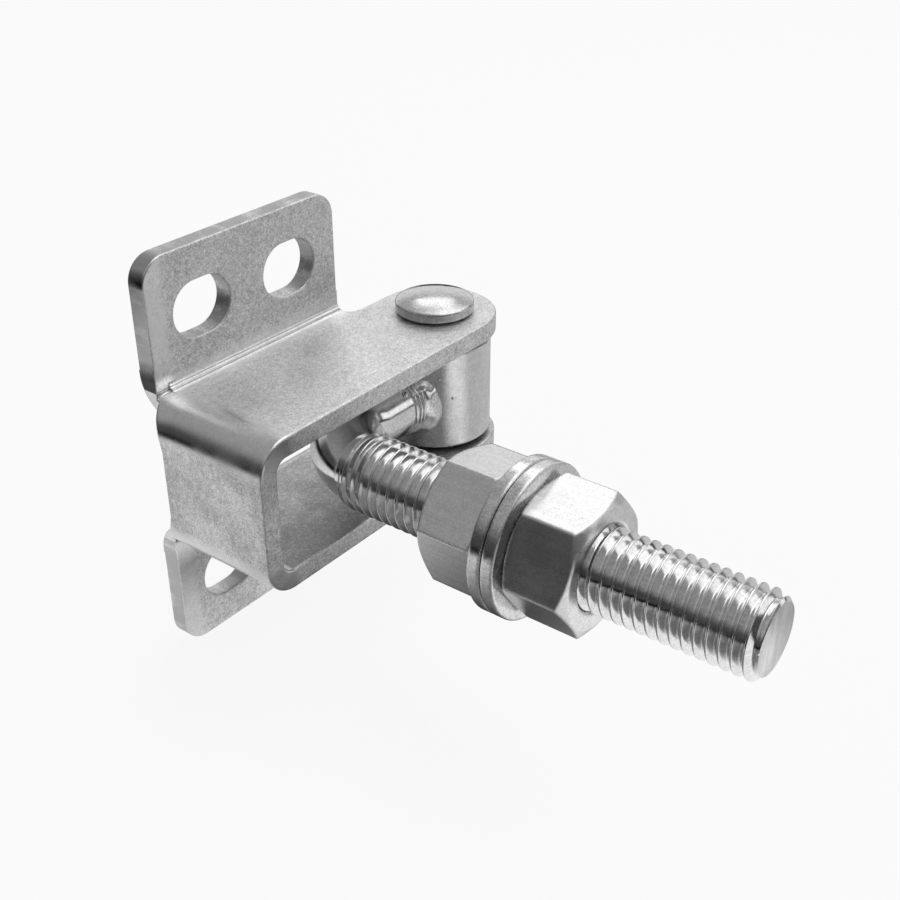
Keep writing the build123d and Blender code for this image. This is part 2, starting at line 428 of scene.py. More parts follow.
@dataclass(frozen=True)
class GrainedFinish:
    """Finely grained surface: zinc-plated steel, or a moulded polymer where it isn't metallic.

    Attributes:
        name: Material name.
        dark: Colour of the darkest grain.
        light: Colour of the lightest grain.
        roughness: Mean roughness.
        spread: How far the mottling moves the roughness.
        grain: Size of the grain in millimetres.
        relief: Height of the grain in millimetres.
        mottle: Size of the mottling in millimetres.
        edge_radius: Apparent radius of the edges in millimetres.
        edge_highlight: How much smoother the edges are, and how much lighter they are painted as a painted
            highlight.
        metallic: 1 for metal, 0 for polymer.
    """

    name: str
    dark: Rgb
    light: Rgb
    roughness: float
    spread: float = 0.08
    grain: float = 0.35
    relief: float = 0.010
    mottle: float = 9.0
    edge_radius: float = 0.35
    edge_highlight: float = 0.35
    metallic: float = 1.0

    def finish(self, s: FinishSketch, shade: object, rough: object, height: object,
               relief: float) -> bpy.types.Material:
        """Wire colour, roughness and relief into the shader.

        Args:
            s: Sketch of the material.
            shade: 0 for the dark colour, 1 for the light one.
            rough: Roughness before the edges.
            height: Relief, 0 to 1.
            relief: Height of the relief in millimetres.

        Returns:
            The material.
        """
        # Painted highlight: the edges are painted lighter, and also made smoother
        painted_edge_light = s.math("MULTIPLY", s.edge.outputs["Edge"], self.edge_highlight)
        lifted = s.math("ADD", shade, painted_edge_light, clamp=True)
        tint = s.blend(lifted, (*self.dark, 1.0), (*self.light, 1.0), colour=True)
        smoother = s.math("MULTIPLY", s.math("MULTIPLY", painted_edge_light, 0.5), rough)
        bump = s.add("ShaderNodeBump")
        bump.inputs["Strength"].default_value = 1.0
        bump.inputs["Distance"].default_value = relief * MM
        s.feed(bump.inputs["Height"], height)
        s.feed(bump.inputs["Normal"], s.edge.outputs["Normal"])
        s.feed(s.shader.inputs["Base Color"], tint)
        s.feed(s.shader.inputs["Roughness"], s.math("SUBTRACT", rough, smoother, clamp=True))
        s.feed(s.shader.inputs["Normal"], bump.outputs["Normal"])
        return s.material

    def build(self, groups: FinishGroups) -> bpy.types.Material:
        """Build the material.

        Args:
            groups: The shared groups.

        Returns:
            The material.
        """
        s = FinishSketch(self, groups)
        shade, height = s.grain.outputs["Shade"], s.grain.outputs["Height"]
        return self.finish(s, shade, s.rough, height, self.relief)


@dataclass(frozen=True)
class FoldedSheetFinish(GrainedFinish):
    """Plated sheet with the marks of the folding press and of the shears, and painted shade inside the U;
    sizes in millimetres.

    Attributes:
        crease_y: Front face of the flange, which meets the arm in a crease.
        arm_z: Height of the arm's face.
        web_x: Outer face of the web.
        web_bend: Outer radius of the web's bends.
        front_y: Front edge of the arms.
        press_gap: Distance of each press line from the crease's middle.
        ease_flange: How far the flange leans into the crease, and over what height.
        ease_arm: How far the arm rises into the crease, and over what depth.
        inner_painted_shade: How much darker the inside of the U is painted, as painted shade.
        inner_depth: Depth below the arm's face where the inside starts.
    """

    crease_y: float = -4.7
    arm_z: float = 18.5
    web_x: float = -33.0
    web_bend: float = 7.7
    front_y: float = -39.0
    press_gap: float = 0.70
    ease_flange: tuple[float, float] = (1.7, 8.0)
    ease_arm: tuple[float, float] = (0.9, 7.0)
    inner_painted_shade: float = 0.40
    inner_depth: float = 4.6

    def _crease(self, s: FinishSketch, forward: object,
                upward: object) -> tuple[bpy.types.NodeSocket, bpy.types.NodeSocket]:
        """Two fine press lines in the crease, and the smoothed band that they lie in.

        Args:
            s: Sketch of the material.
            forward: Distance in front of the flange.
            upward: Height over the arm.

        Returns:
            The mask of the lines and the mask of the band.
        """
        near = s.math("MULTIPLY", s.past(upward, -1.4, -0.1), s.past(forward, -0.4, -0.1))
        wander = s.math("MULTIPLY", s.math("SUBTRACT", s.noise(s.place, 160.0, 1.0), 0.5), 0.3 * MM)
        along = s.math("ADD", s.math("SUBTRACT", forward, upward), wander)
        lines = [s.band(along, side * self.press_gap * MM, 0.08 * MM, 0.12 * MM) for side in (1, -1)]
        press = s.math("MULTIPLY", s.math("MAXIMUM", *lines), near, clamp=True)
        ironed = s.math("SUBTRACT", 1.0, s.past(s.math("ABSOLUTE", along), 2.0, 4.4))
        return press, s.math("MULTIPLY", ironed, near)

    def _marks(self, s: FinishSketch, x: object, y: object,
               high: object) -> tuple[bpy.types.NodeSocket, bpy.types.NodeSocket]:
        """Shear streaks on the arm, the darker cut faces, and painted shade inside the U.

        Args:
            s: Sketch of the material.
            x: Coordinate along X.
            y: Coordinate along Y.
            high: Distance from the middle plane.

        Returns:
            The mask of the streaks, and how much darker the cut faces are plus the painted shade inside the
            U.
        """
        # By the front edge of the arms, near the web
        streak = s.span(s.noise(s.stretched(s.place, (60.0, 2600.0, 900.0)), 1.0, 2.0, 0.6), 0.56, 0.66)
        window = s.math("MULTIPLY", s.band(x, -13.0 * MM, 6.0 * MM, 6.0 * MM),
                        s.band(y, (self.front_y + 2.4) * MM, 1.4 * MM, 0.8 * MM))
        on_arm = s.past(high, self.arm_z - 0.4, self.arm_z - 0.1)
        streak = s.math("MULTIPLY", s.math("MULTIPLY", streak, window), on_arm)

        # The flange's sheared rim and the walls of its slots, in patches
        cut = s.math("MULTIPLY", s.band(y, self.crease_y / 2 * MM, 1.95 * MM, 0.2 * MM),
                     s.past(high, self.arm_z + 2.5, self.arm_z + 3.5))
        patches = s.span(s.noise(s.stretched(s.place, (260.0, 90.0, 260.0)), 1.0, 2.0, 0.6), 0.36, 0.66)

        # Painted shade inside the U, under the upper arm
        behind = s.math("MULTIPLY", s.past(x, self.web_x + 4.4, self.web_x + 4.6),
                        s.past(y, self.front_y + 0.3, self.front_y + 0.8))
        roof = self.arm_z - self.inner_depth
        inner = s.math("MULTIPLY", behind, s.math("SUBTRACT", 1.0, s.past(high, roof, roof + 0.2)))
        return streak, s.math("ADD", s.math("MULTIPLY", cut, s.blend(patches, 0.75, 0.15)),
                              s.math("MULTIPLY", inner, self.inner_painted_shade))

    def build(self, groups: FinishGroups) -> bpy.types.Material:
        """Build the material.

        Args:
            groups: The shared groups.

        Returns:
            The material.
        """
        s = FinishSketch(self, groups)
        x, y, z = s.axes(s.place)
        high = s.math("ABSOLUTE", z)
        forward = s.math("SUBTRACT", self.crease_y * MM, y)
        upward = s.math("SUBTRACT", high, self.arm_z * MM)
        press, ironed = self._crease(s, forward, upward)
        streak, cut_tone_and_inner_shade = self._marks(s, x, y, high)

        # The outside of the web's bends is drawn smooth
        bend_x, bend_z = self.web_x + self.web_bend, self.arm_z - self.web_bend
        drawn = s.math("MULTIPLY", s.math("SUBTRACT", 1.0, s.past(x, bend_x, bend_x + 2.5)),
                       s.past(high, bend_z - 1.0, bend_z + 2.0))
        smooth_band = s.math("MAXIMUM", s.math("MULTIPLY", ironed, 0.8), drawn)

        speckle = s.grain.outputs["Shade"]
        shade = s.blend(smooth_band, speckle, s.blend(0.35, 0.55, speckle))
        marks = s.math("SUBTRACT", s.math("MULTIPLY", streak, 0.6), s.math("MULTIPLY", press, 0.45))
        # Darker cut faces, and painted shade inside the U
        shade = s.math("SUBTRACT", s.math("ADD", shade, marks), cut_tone_and_inner_shade, clamp=True)
        polish = s.math("ADD", s.math("MULTIPLY", ironed, 0.08), s.math("MULTIPLY", drawn, 0.22))
        rough = s.math("SUBTRACT", s.rough, polish)
        height = s.math("MULTIPLY", s.grain.outputs["Height"], s.blend(smooth_band, 1.0, 0.45))
        marks = s.math("SUBTRACT", s.math("MULTIPLY", streak, 3.0), s.math("MULTIPLY", press, 3.0))
        height = s.math("ADD", height, marks)
        for away, (rise, reach) in ((upward, self.ease_flange), (forward, self.ease_arm)):
            close = s.math("SUBTRACT", 1.0, s.span(away, 0.6 * MM, reach * MM, smooth=False))
            ease = s.math("MULTIPLY", s.math("POWER", close, 2.0), rise / self.relief)
            height = s.math("ADD", height, ease)
        return self.finish(s, shade, rough, height, self.relief)


@dataclass(frozen=True)
class LinedFinish(GrainedFinish):
    """Plated steel with fine parallel lines.

    Attributes:
        stretch: Scale of the lines along X, Y and Z; the smallest is the direction of the lines.
        line_share: How much the lines tint the surface.
        line_relief: Height of the lines in millimetres.
        line_width: Width of a line in millimetres.
    """

    stretch: tuple[float, float, float] = (1.0, 0.02, 1.0)
    line_share: float = 0.5
    line_relief: float = 0.006
    line_width: float = 0.22

    def build(self, groups: FinishGroups) -> bpy.types.Material:
        """Build the material.

        Args:
            groups: The shared groups.

        Returns:
            The material.
        """
        s = FinishSketch(self, groups)
        lines = s.add("ShaderNodeGroup", node_tree=groups.lines)
        s.feed(lines.inputs["Vector"], s.stretched(s.place, self.stretch))
        lines.inputs["Scale"].default_value = 1.0 / (self.line_width * MM)
        shade = s.blend(self.line_share, s.grain.outputs["Shade"], lines.outputs["Shade"])
        relief = self.line_relief + self.relief
        height = s.blend(self.line_relief / relief, s.grain.outputs["Height"], lines.outputs["Height"])
        return self.finish(s, shade, s.rough, height, relief)


class Wardrobe:
    """All finishes of the hinge, built once."""

    def __init__(self) -> None:
        """Build the groups and the materials."""
        groups = FinishGroups()
        self.sheet = FoldedSheetFinish(
            "plated_sheet", grey(0.46), grey(0.94), 0.50, relief=0.030, edge_radius=0.6).build(groups)
        self.pin = GrainedFinish(
            "plated_pin", grey(0.48), grey(0.70), 0.20, grain=0.5, relief=0.006, edge_radius=0.9,
            edge_highlight=0.5).build(groups)
        self.ring = GrainedFinish(
            "spring_steel", grey(0.10), grey(0.20), 0.38, grain=0.3, relief=0.003,
            edge_radius=0.1).build(groups)
        self.barrel = LinedFinish(
            "plated_barrel", grey(0.52), grey(0.80), 0.24, stretch=(1.0, 1.0, 0.15), line_share=0.2,
            relief=0.008, line_relief=0.002).build(groups)
        self.bush = GrainedFinish(
            "bush_black", (0.012, 0.012, 0.013), (0.0232, 0.0232, 0.0248), 0.45, spread=0.06, grain=0.25,
            relief=0.006, mottle=4.0, edge_radius=0.0, edge_highlight=0.0, metallic=0.0).build(groups)
        self.bolt = GrainedFinish(
            "plated_bolt", grey(0.66), grey(0.86), 0.16, spread=0.05, grain=0.6, relief=0.004,
            edge_radius=0.08, edge_highlight=0.3).build(groups)
        self.tip = LinedFinish(
            "sawn_tip", grey(0.45), grey(0.80), 0.32, stretch=(1.0, 1.0, 0.03), line_share=0.7,
            line_relief=0.02, edge_radius=0.1).build(groups)
        self.weld = GrainedFinish(
            "plated_weld", grey(0.56), grey(0.86), 0.22, grain=0.5, relief=0.008,
            edge_radius=0.05).build(groups)
        self.nut = LinedFinish(
            "plated_nut", grey(0.56), grey(0.90), 0.27, spread=0.03, grain=0.3, relief=0.012,
            line_share=0.35, line_relief=0.010, edge_radius=1.0, edge_highlight=0.5).build(groups)
        self.washer = GrainedFinish(
            "plated_washer", grey(0.55), grey(0.86), 0.24, grain=0.5, relief=0.010, edge_radius=0.8,
            edge_highlight=0.5).build(groups)


def new_piece(name: str, mesh: BMesh, materials: Sequence[bpy.types.Material],
              smooth: float) -> bpy.types.Object:
    """Turn a bmesh drawn in millimetres into an object at the origin.

    Args:
        name: Name of the piece.
        mesh: The bmesh, freed here.
        materials: Material slots.
        smooth: Edges sharper than this many degrees stay sharp.

    Returns:
        The object.
    """
    bmesh.ops.scale(mesh, vec=(MM, MM, MM), verts=mesh.verts)
    bmesh.ops.recalc_face_normals(mesh, faces=mesh.faces)
    for face in mesh.faces:
        face.smooth = True
    limit = math.radians(smooth)
    for edge in mesh.edges:
        edge.smooth = not (edge.is_manifold and edge.calc_face_angle(0.0) > limit)
    data = bpy.data.meshes.new(name)
    mesh.to_mesh(data)
    mesh.free()
    for material in materials:
        data.materials.append(material)
    piece = bpy.data.objects.new(name, data)
    bpy.context.scene.collection.objects.link(piece)
    return piece


def close_ends(mesh: BMesh) -> None:
    """Fill each open rim.

    Args:
        mesh: The bmesh.
    """
    bmesh.ops.holes_fill(mesh, edges=[edge for edge in mesh.edges if edge.is_boundary], sides=0)


@dataclass
class ThreadedBolt:
    """Bent bar with a plain leg and a rolled right-hand thread; sizes in millimetres.

    Attributes:
        pin_x: Pin axis along X.
        pin_y: Pin axis along Y.
        leg_radius: Radius of the plain bar.
        leg_end: Distance from the pin axis to the leg's square end.
        offset: Distance from the pin axis to the stud's axis.
        bend_radius: Centre-line radius of the bend.
        stud_start: Distance from the pin axis to the start of the run-out.
        run_out: Length over which the thread comes up to its full diameter.
        stud_end: Distance from the pin axis to the tip.
        tip_chamfer: Width of the tip's chamfer.
        crest_radius: Outer radius of the thread.
        pitch: Pitch of the thread.
        depth: Depth of the thread.
        steps: Steps in each turn.
        overlap: How far the bar's end reaches into the stud.
    """

    pin_x: float = 43.0
    pin_y: float = -24.0
    leg_radius: float = 8.2
    leg_end: float = 14.1
    offset: float = 45.3
    bend_radius: float = 18.4
    stud_start: float = 14.0
    run_out: float = 2.5
    stud_end: float = 113.7
    tip_chamfer: float = 1.6
    crest_radius: float = 9.0
    pitch: float = 2.5
    depth: float = 1.53
    steps: int = 56
    overlap: float = 2.0

    def profile(self) -> list[tuple[float, float]]:
        """One pitch of the thread, from root to root.

        Returns:
            Pairs of distance along the stud and radius.
        """
        root, crest, p = self.crest_radius - self.depth, self.crest_radius - 0.01, self.pitch
        half = [(0.0, root), (0.17, root + 0.03), (0.33, root + 0.17),
                (1.02, crest - 0.14), (1.09, crest - 0.03), (1.17, crest)]
        return half + [(p - s, r) for s, r in reversed(half)]

    def _bar(self, mesh: BMesh) -> None:
        """Add the plain leg and the bend.

        Args:
            mesh: The bmesh that grows.
        """
        start = Vector((self.pin_x - self.leg_end, self.pin_y, 0.0))
        place = Matrix.Translation(start) @ Matrix.Rotation(math.radians(90.0), 4, "Y")
        ring = bmesh.ops.create_circle(mesh, cap_ends=False, segments=64, radius=self.leg_radius,
                                       matrix=place)
        rim = list({edge for vert in ring["verts"] for edge in vert.link_edges})
        straight = self.offset - self.bend_radius - self.leg_end
        grown = self._extend(mesh, rim, (-straight, 0.0, 0.0))
        corner = Vector((self.pin_x - self.offset + self.bend_radius, self.pin_y - self.bend_radius, 0.0))
        bent = bmesh.ops.spin(mesh, geom=grown, cent=corner, axis=(0.0, 0.0, 1.0),
                              angle=math.radians(90.0), steps=36, use_merge=False)["geom_last"]
        self._extend(mesh, [part for part in bent if isinstance(part, BMEdge)], (0.0, -self.overlap, 0.0))
        close_ends(mesh)

    def _extend(self, mesh: BMesh, rim: list[BMEdge], move: tuple[float, float, float]) -> list:
        """Draw a rim out along a straight line.

        Args:
            mesh: The bmesh that grows.
            rim: Edges of the rim.
            move: How far and which way.

        Returns:
            The edges and then the vertices of the new rim.
        """
        grown = bmesh.ops.extrude_edge_only(mesh, edges=rim)["geom"]
        edges, verts = [[part for part in grown if isinstance(part, kind)] for kind in (BMEdge, BMVert)]
        bmesh.ops.translate(mesh, vec=move, verts=verts)
        return edges + verts

    def _limit(self, along: float) -> float:
        """Largest radius of the thread.

        Args:
            along: Distance from the pin axis.

        Returns:
            The radius, smaller at the run-out and at the chamfered tip.
        """
        slope = (self.crest_radius - self.leg_radius) / self.run_out
        rise = self.leg_radius + slope * (along - self.stud_start)
        fall = self.crest_radius - (along - (self.stud_end - self.tip_chamfer))
        return min(self.crest_radius, rise, fall)

    def _thread(self, mesh: BMesh) -> None:
        """Add the threaded stud as a closed shell.

        Args:
            mesh: The bmesh that grows.
        """
        axis_x = self.pin_x - self.offset
        first = self.stud_start - 2.0 * self.pitch
        points = [mesh.verts.new((axis_x + radius, self.pin_y - first - step, 0.0))
                  for step, radius in self.profile()]
        edges = [mesh.edges.new(pair) for pair in zip(points, points[1:])]
        turns = math.ceil((self.stud_end - self.stud_start) / self.pitch) + 4
        bmesh.ops.spin(mesh, geom=points + edges, cent=(axis_x, self.pin_y, 0.0), axis=(0.0, -1.0, 0.0),
                       dvec=(0.0, -self.pitch / self.steps, 0.0), angle=2.0 * math.pi * turns,
                       steps=turns * self.steps, use_merge=False, use_normal_flip=False)
        bmesh.ops.remove_doubles(mesh, verts=mesh.verts, dist=0.004)
        for plane, keep in ((self.stud_start, -1.0), (self.stud_end, 1.0)):
            bmesh.ops.bisect_plane(mesh, geom=mesh.verts[:] + mesh.edges[:] + mesh.faces[:], dist=1e-5,
                                   plane_co=(axis_x, self.pin_y - plane, 0.0),
                                   plane_no=(0.0, -keep, 0.0), clear_outer=True)
        for vert in mesh.verts:
            along = self.pin_y - vert.co.y
            out = Vector((vert.co.x - axis_x, 0.0, vert.co.z))
            fade = eased((along - self.stud_start) / (1.6 * self.pitch))
            radius = self.crest_radius - (self.crest_radius - out.length) * fade
            radius = max(min(radius, self._limit(along)), 0.5)
            out.normalize()
            vert.co.x, vert.co.z = axis_x + out.x * radius, out.z * radius
        close_ends(mesh)

    def build(self, steel: bpy.types.Material, tip: bpy.types.Material) -> bpy.types.Object:
        """Build the bolt, dress it and seat it.

        Args:
            steel: Finish of the bar and the thread.
            tip: Finish of the sawn end.

        Returns:
            The object.
        """
        mesh = bmesh.new()
        self._thread(mesh)
        shell = bmesh.new()
        self._bar(shell)
        spare = bpy.data.meshes.new("bar")
        shell.to_mesh(spare)
        shell.free()
        mesh.from_mesh(spare)
        bpy.data.meshes.remove(spare)
        end = self.pin_y - self.stud_end
        for face in mesh.faces:
            if all(abs(vert.co.y - end) < 1e-3 for vert in face.verts):
                face.material_index = 1
        piece = new_piece("threaded_bolt", mesh, (steel, tip), smooth=48.0)
        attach(piece, Body.LEAF.value)
        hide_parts("hinge_bolt")
        return piece


@dataclass
class WeldBead:
    """Ringed weld between the leg and the barrel; sizes in millimetres.

    Attributes:
        bolt: The bolt it holds.
        rings: Each ring's ends: distance from the pin axis and rise over the leg, then both again.
        ring_steps: Steps across each ring.
        ring_bulge: How far each ring bulges.
        valley: Distance and rise of the points between the rings and the fill.
        fill: Distance and rise of the points of the fill.
        sink: Distance from the pin axis to the hidden inner end.
        sag: How far the fill sags at the bottom.
        lumps: Height of the lumps on top.
        ripple: Height of the ripple all around.
        sway: How far the rings wander along the leg.
        leg_drops: Droplets on the leg: distance from the pin axis, angle in degrees and radius.
        barrel_radius: Radius of the barrel.
        barrel_drops: Droplets on the barrel: angle about the pin in degrees, height and radius.
    """

    bolt: ThreadedBolt
    rings: tuple[tuple[float, ...], ...] = (
        (18.3, -0.25, 17.0, 0.40), (17.0, 0.36, 15.9, 0.60), (15.9, 0.56, 14.9, 0.72))
    ring_steps: int = 6
    ring_bulge: float = 0.34
    valley: tuple[tuple[float, float], ...] = ((14.9, 0.60), (14.7, 0.52), (14.5, 0.62), (14.3, 0.80))
    fill: tuple[tuple[float, float], ...] = (
        (13.8, 0.95), (13.3, 1.04), (12.8, 1.08), (12.2, 1.10), (11.6, 1.11), (11.0, 1.12), (10.4, 1.12),
        (9.6, 1.10))
    sink: float = 9.6
    sag: float = 1.7
    lumps: float = 0.55
    ripple: float = 0.10
    sway: float = 0.30
    leg_drops: tuple[tuple[float, float, float], ...] = (
        (19.6, 140.0, 0.75), (18.9, 128.0, 0.6), (20.6, 131.0, 0.45), (19.4, 118.0, 0.5))
    barrel_radius: float = 13.8
    barrel_drops: tuple[tuple[float, float, float], ...] = ((236.0, 1.0, 0.40), (222.0, 6.4, 0.35))

    def _outline(self) -> list[tuple[float, float]]:
        """Outline of the bead: three rings, a valley, and the smooth fill against the barrel.

        Returns:
            Pairs of distance from the pin axis and radius about the leg's axis.
        """
        leg = self.bolt.leg_radius
        points: list[tuple[float, float]] = []
        for near, low, far, high in self.rings:
            for step in range(self.ring_steps):
                t = step / self.ring_steps
                bulge = self.ring_bulge * math.sin(math.pi * t)
                points.append((near + (far - near) * t, leg + low + (high - low) * t + bulge))
        return points + [(along, leg + rise) for along, rise in self.valley + self.fill]

    def _settle(self, mesh: BMesh) -> None:
        """Let the fill sag towards the bottom, and make the bead lumpy on top.

        Args:
            mesh: The bmesh of the bead.
        """
        pin_x, pin_y = self.bolt.pin_x, self.bolt.pin_y
        bead_start = self.rings[0][0]
        for vert in mesh.verts:
            out = Vector((0.0, vert.co.y - pin_y, vert.co.z))
            if out.length < 1.0:
                continue
            along = pin_x - vert.co.x
            up = out.z / out.length
            shown = eased((along - self.sink - 0.2) / 0.8) * eased((bead_start - along + 0.3) / 1.0)
            sag = eased((14.6 - along) / 3.4) * eased((0.30 - up) / 1.2) * self.sag
            on_top = eased((up - 0.15) / 0.5)
            lumps = noise.noise(Vector((vert.co.x * 0.42, out.y * 0.42, out.z * 0.42))) * self.lumps * on_top
            ripple = noise.noise(Vector((vert.co.x * 0.5, out.y * 0.8, out.z * 0.8))) * self.ripple
            vert.co += out.normalized() * (sag + (lumps + ripple) * shown)
            vert.co.x += noise.noise(Vector((3.0, out.y * 0.30, out.z * 0.30))) * self.sway * shown

    def _spatter(self, mesh: BMesh) -> None:
        """Add droplets that stuck to the leg and to the barrel.

        Args:
            mesh: The bmesh of the bead.
        """
        pin = Vector((self.bolt.pin_x, self.bolt.pin_y, 0.0))
        leg, barrel = self.bolt.leg_radius, self.barrel_radius
        drops = []
        for along, degrees, size in self.leg_drops:
            turn = math.radians(degrees)
            drops.append((Vector((-along, leg * math.cos(turn), leg * math.sin(turn))), size))
        for degrees, height, size in self.barrel_drops:
            turn = math.radians(degrees)
            drops.append((Vector((barrel * math.cos(turn), barrel * math.sin(turn), height)), size))
        for place, size in drops:
            seat = Matrix.Translation(pin + place)
            bmesh.ops.create_icosphere(mesh, subdivisions=2, radius=size, matrix=seat)

    def build(self, steel: bpy.types.Material) -> bpy.types.Object:
        """Build the bead, dress it and seat it.

        Args:
            steel: Finish of the weld.

        Returns:
            The object.
        """
        pin_x, pin_y = self.bolt.pin_x, self.bolt.pin_y
        mesh = bmesh.new()
        points = [mesh.verts.new((pin_x - along, pin_y, radius)) for along, radius in self._outline()]
        points.append(mesh.verts.new((pin_x - self.sink, pin_y, 0.0)))
        points.insert(0, mesh.verts.new((pin_x - self.rings[0][0], pin_y, 0.0)))
        edges = [mesh.edges.new(pair) for pair in zip(points, points[1:])]
        bmesh.ops.spin(mesh, geom=points + edges, cent=(pin_x, pin_y, 0.0), axis=(1.0, 0.0, 0.0),
                       angle=2.0 * math.pi, steps=120, use_merge=True)
        bmesh.ops.remove_doubles(mesh, verts=mesh.verts, dist=0.003)
        self._settle(mesh)
        self._spatter(mesh)
        piece = new_piece("weld_rings", mesh, (steel,), smooth=60.0)
        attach(piece, Body.LEAF.value)
        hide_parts("weld_bead")
        return piece


@dataclass
class CadPieces:
    """Pieces that keep their solid and get a finish.

    Attributes:
        wardrobe: The finishes.
    """

    wardrobe: Wardrobe

    def dress(self) -> list[str]:
        """Give each carried-over node its finish.

        Returns:
            The names of the dressed nodes.
        """
        w = self.wardrobe
        finishes = {
            "bracket": w.sheet, "hinge_pin": w.pin, "retaining_ring": w.ring, "barrel": w.barrel,
            "upper_bush": w.bush, "lower_bush": w.bush, "inner_nut": w.nut, "outer_nut": w.nut,
            "inner_washer": w.washer, "outer_washer": w.washer,
        }
        for name, material in finishes.items():
            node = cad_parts[name]
            node.data.materials.clear()
            node.data.materials.append(material)
        return sorted(finishes)


@dataclass(frozen=True)
class PhotoCamera:
    """Camera at the photograph's viewpoint; lengths in millimetres and angles in degrees.

    Attributes:
        azimuth: Turn about the vertical from the view along Y.
        elevation: Height of the view.
        roll: Turn about the line of sight.
        distance: Distance from the target.
        target: Middle of the picture.
        focal_px: Focal length in pixels.
        image_px: Width of the picture in pixels.
        sensor: Width of the sensor.
    """

    azimuth: float = -52.507
    elevation: float = 30.087
    roll: float = -0.155
    distance: float = 282.211
    target: tuple[float, float, float] = (9.886, -54.0, 4.714)
    focal_px: float = 1282.6
    image_px: float = 900.0
    sensor: float = 36.0

    def place(self) -> bpy.types.Object:
        """Make the camera and use it.

        Returns:
            The camera.
        """
        data = bpy.data.cameras.new("photo_camera")
        data.lens = self.focal_px / self.image_px * self.sensor
        data.sensor_width = self.sensor
        data.clip_start, data.clip_end = 0.01, 20.0
        camera = bpy.data.objects.new("photo_camera", data)
        bpy.context.scene.collection.objects.link(camera)
        a, e = math.radians(self.azimuth), math.radians(self.elevation)
        back = Vector((math.sin(a) * math.cos(e), -math.cos(a) * math.cos(e), math.sin(e)))
        camera.location = (Vector(self.target) + back * self.distance) * MM
        camera.rotation_mode = "QUATERNION"
        turn = Matrix.Rotation(math.radians(self.roll), 4, "Z").to_quaternion()
        camera.rotation_quaternion = (-back).to_track_quat("-Z", "Y") @ turn
        bpy.context.scene.camera = camera
        return camera


@dataclass(frozen=True)
class SoftBox:
    """Area lamp that looks at the hinge.

    Attributes:
        name: Name of the lamp.
        direction: From the hinge towards the lamp.
        distance: Distance in metres.
        size: Width and height in metres.
        radiance: Brightness of its face, where 1 shows as white.
    """

    name: str
    direction: tuple[float, float, float]
    distance: float
    size: tuple[float, float]
    radiance: float

    def hang(self, target: Vector) -> bpy.types.Object:
        """Make the lamp.

        Args:
            target: Where it looks.

        Returns:
            The lamp.
        """
        data = bpy.data.lights.new(self.name, "AREA")
        data.shape = "RECTANGLE"
        data.size, data.size_y = self.size
        data.energy = self.radiance * math.pi * self.size[0] * self.size[1]
        lamp = bpy.data.objects.new(self.name, data)
        bpy.context.scene.collection.objects.link(lamp)
        towards = Vector(self.direction).normalized()
        lamp.location = target + towards * self.distance
        lamp.rotation_mode = "QUATERNION"
        lamp.rotation_quaternion = (-towards).to_track_quat("-Z", "Y")
        return lamp


